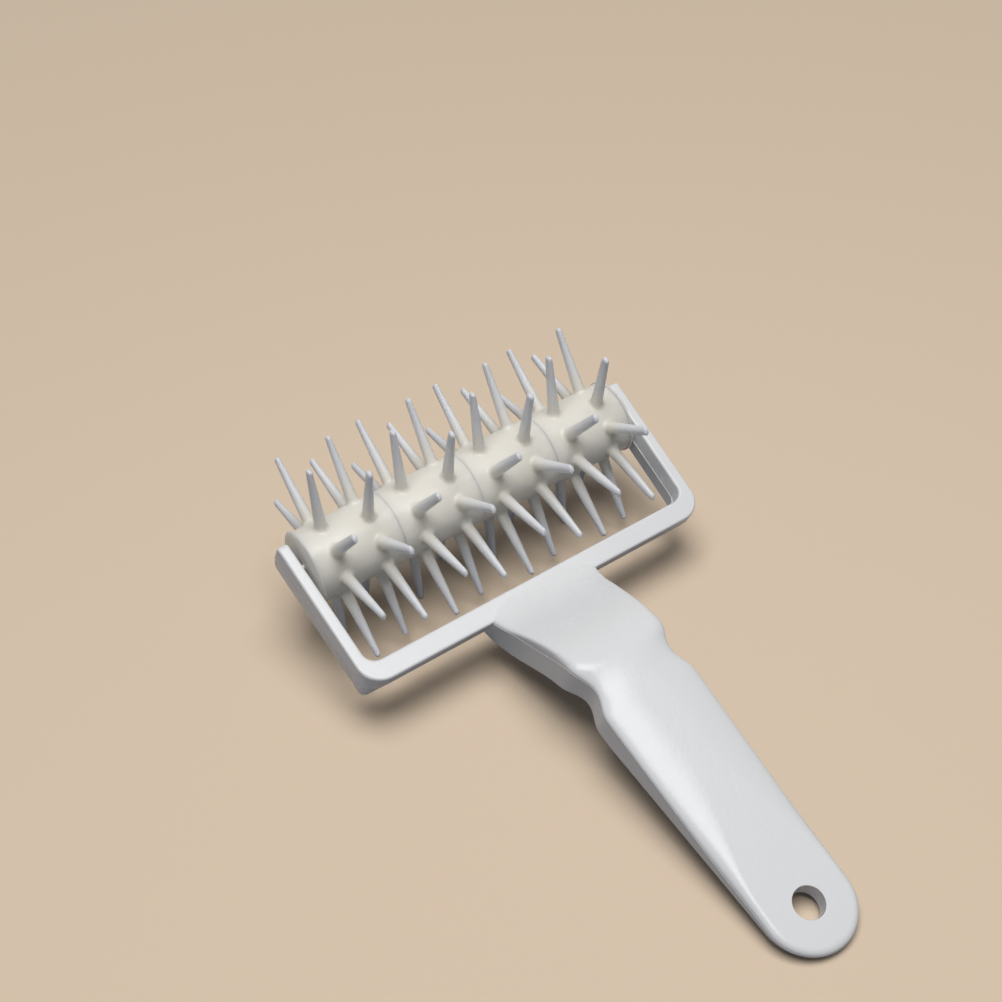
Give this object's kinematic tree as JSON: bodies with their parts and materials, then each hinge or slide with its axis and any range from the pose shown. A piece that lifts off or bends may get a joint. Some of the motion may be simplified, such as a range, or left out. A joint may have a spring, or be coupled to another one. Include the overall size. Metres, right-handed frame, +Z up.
{
  "type": "dough docker",
  "caption": "Spiked roller on an axle between the arms of a one-piece moulded handle with a hang hole, for pricking rolled-out dough.",
  "frame": {"origin": "on the table, under the middle of the box round the part as it lies", "axes": "+X along the roller's axis, +Y from the hang hole towards the roller, +Z up from the table"},
  "size_m": [0.1316, 0.2158, 0.0695],
  "materials": {
    "white_plastic": "semi-gloss moulded polypropylene, cool white",
    "ivory_plastic": "semi-gloss moulded nylon, warm ivory",
    "axle_steel": "plain drawn steel"
  },
  "bodies": {
    "frame": {"handle_frame": "white_plastic"},
    "roller": {"axle": "axle_steel", "roller_segment_1": "ivory_plastic", "roller_segment_2": "ivory_plastic", "roller_segment_3": "ivory_plastic", "roller_segment_4": "ivory_plastic", "end_cap_left": "ivory_plastic", "end_cap_right": "ivory_plastic"}
  },
  "joints": [
    {"name": "roller_spin", "type": "hinge", "parent": "frame", "child": "roller", "pos_m": [0, 0.07318, 0.03474], "axis": [1, 0, 0], "continuous": true}
  ]
}
